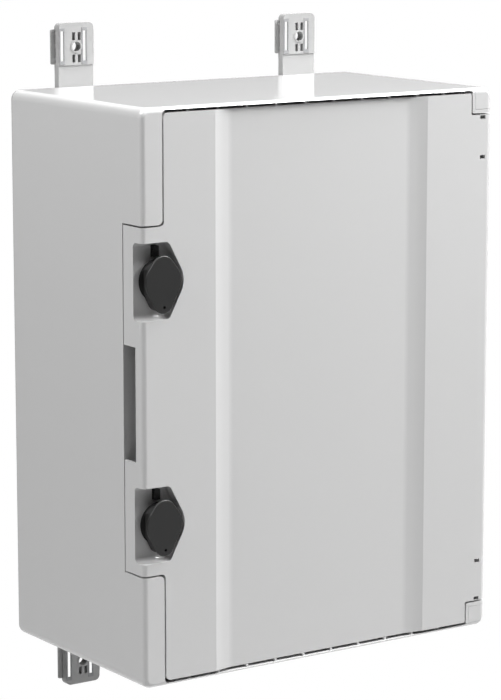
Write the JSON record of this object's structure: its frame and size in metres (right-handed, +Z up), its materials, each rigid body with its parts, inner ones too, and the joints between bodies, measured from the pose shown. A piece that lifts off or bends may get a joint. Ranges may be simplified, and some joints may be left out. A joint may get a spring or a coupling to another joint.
{
  "type": "dc combiner box",
  "caption": "Wall-hung moulded cabinet with a hinged door and quarter-turn locks that joins solar strings through fuse holders, busbars, surge arrester and switch.",
  "frame": {"origin": "centre of the four wall holes of the brackets, on the wall plane", "axes": "+Z up, +Y into the wall, so the door faces -Y and +X is to the right of a person facing the door"},
  "size_m": [0.449, 0.269, 0.7384],
  "materials": {
    "cabinet_plastic": "light grey moulded plastic, satin",
    "door_plastic": "light grey moulded plastic, satin",
    "bracket_plastic": "grey moulded plastic",
    "liner_grey": "dark grey moulded plastic",
    "seal_rubber": "soft foam rubber",
    "lock_black": "black moulded plastic",
    "galvanised_sheet": "galvanised",
    "zinc_screw": "zinc plated",
    "device_grey": "moulded device housing",
    "drawer_grey": "moulded drawer",
    "fuse_ceramic": "white ceramic with metal end caps",
    "copper": "bare copper",
    "earth_brass": "brass",
    "surge_cartridge": "dark cartridge",
    "switch_red": "red knob",
    "gland_grey": "grey polyamide",
    "gland_rubber": "rubber insert"
  },
  "bodies": {
    "cabinet": {"enclosure_body": "cabinet_plastic", "hinge_cap_upper": "cabinet_plastic", "hinge_pin_upper": "zinc_screw", "hinge_cap_lower": "cabinet_plastic", "hinge_pin_lower": "zinc_screw", "wall_bracket_top_left": "bracket_plastic", "wall_bracket_top_right": "bracket_plastic", "wall_bracket_bottom_left": "bracket_plastic", "wall_bracket_bottom_right": "bracket_plastic", "slot_liners": "liner_grey", "bracket_screws": "zinc_screw", "mounting_plate": "galvanised_sheet", "mounting_plate_screws": "zinc_screw", "din_rail_upper": "galvanised_sheet", "din_rail_lower": "galvanised_sheet", "din_rail_screws": "zinc_screw", "fuse_base_1": "device_grey", "fuse_base_2": "device_grey", "fuse_base_3": "device_grey", "fuse_base_4": "device_grey", "fuse_base_5": "device_grey", "fuse_base_6": "device_grey", "busbar_positive": "copper", "busbar_negative": "copper", "surge_arrester_base": "device_grey", "disconnector_body": "device_grey", "earth_bar": "earth_brass", "earth_bar_screws": "zinc_screw", "gland_bodies": "gland_grey", "gland_domes": "gland_grey", "gland_locknuts": "gland_grey", "open_gland_locknuts": "gland_grey", "gland_seals": "gland_rubber"},
    "door": {"door_panel": "door_plastic", "door_seal": "seal_rubber", "lock_housing_upper": "lock_black", "lock_housing_lower": "lock_black", "lock_nuts": "lock_black"},
    "lock_upper": {"lock_knob_upper": "lock_black", "lock_cam_upper": "zinc_screw", "cam_screw_upper": "zinc_screw"},
    "lock_lower": {"lock_knob_lower": "lock_black", "lock_cam_lower": "zinc_screw", "cam_screw_lower": "zinc_screw"},
    "drawer_1": {"fuse_drawer_1": "drawer_grey", "fuse_links_1": "fuse_ceramic"},
    "drawer_2": {"fuse_drawer_2": "drawer_grey", "fuse_links_2": "fuse_ceramic"},
    "drawer_3": {"fuse_drawer_3": "drawer_grey", "fuse_links_3": "fuse_ceramic"},
    "drawer_4": {"fuse_drawer_4": "drawer_grey", "fuse_links_4": "fuse_ceramic"},
    "drawer_5": {"fuse_drawer_5": "drawer_grey", "fuse_links_5": "fuse_ceramic"},
    "drawer_6": {"fuse_drawer_6": "drawer_grey", "fuse_links_6": "fuse_ceramic"},
    "cartridge_1": {"surge_cartridge_1": "surge_cartridge"},
    "cartridge_2": {"surge_cartridge_2": "surge_cartridge"},
    "cartridge_3": {"surge_cartridge_3": "surge_cartridge"},
    "switch_knob": {"disconnector_knob": "switch_red"}
  },
  "joints": [
    {"name": "door_hinge", "type": "hinge", "parent": "cabinet", "child": "door", "pos_m": [0.21005, -0.254, 0], "axis": [0, 0, 1], "range_deg": [0, 130]},
    {"name": "lock_turn_upper", "type": "hinge", "parent": "door", "child": "lock_upper", "pos_m": [-0.20215, -0.26, 0.1242], "axis": [0, 1, 0], "range_deg": [0, 90]},
    {"name": "lock_turn_lower", "type": "hinge", "parent": "door", "child": "lock_lower", "pos_m": [-0.20215, -0.26, -0.128], "axis": [0, 1, 0], "range_deg": [0, 90]},
    {"name": "drawer_swing_1", "type": "hinge", "parent": "cabinet", "child": "drawer_1", "pos_m": [-0.08715, -0.089, 0.112], "axis": [1, 0, 0], "range_deg": [0, 85]},
    {"name": "drawer_swing_2", "type": "hinge", "parent": "cabinet", "child": "drawer_2", "pos_m": [-0.05115, -0.089, 0.112], "axis": [1, 0, 0], "range_deg": [0, 85]},
    {"name": "drawer_swing_3", "type": "hinge", "parent": "cabinet", "child": "drawer_3", "pos_m": [-0.01515, -0.089, 0.112], "axis": [1, 0, 0], "range_deg": [0, 85]},
    {"name": "drawer_swing_4", "type": "hinge", "parent": "cabinet", "child": "drawer_4", "pos_m": [0.02085, -0.089, 0.112], "axis": [1, 0, 0], "range_deg": [0, 85]},
    {"name": "drawer_swing_5", "type": "hinge", "parent": "cabinet", "child": "drawer_5", "pos_m": [0.05685, -0.089, 0.112], "axis": [1, 0, 0], "range_deg": [0, 85]},
    {"name": "drawer_swing_6", "type": "hinge", "parent": "cabinet", "child": "drawer_6", "pos_m": [0.09285, -0.089, 0.112], "axis": [1, 0, 0], "range_deg": [0, 85]},
    {"name": "cartridge_pull_1", "type": "slide", "parent": "cabinet", "child": "cartridge_1", "axis": [0, -1, 0], "range_m": [0, 0.048]},
    {"name": "cartridge_pull_2", "type": "slide", "parent": "cabinet", "child": "cartridge_2", "axis": [0, -1, 0], "range_m": [0, 0.048]},
    {"name": "cartridge_pull_3", "type": "slide", "parent": "cabinet", "child": "cartridge_3", "axis": [0, -1, 0], "range_m": [0, 0.048]},
    {"name": "switch_turn", "type": "hinge", "parent": "cabinet", "child": "switch_knob", "pos_m": [0.04105, -0.106, -0.06], "axis": [0, 1, 0], "range_deg": [0, 90]}
  ]
}
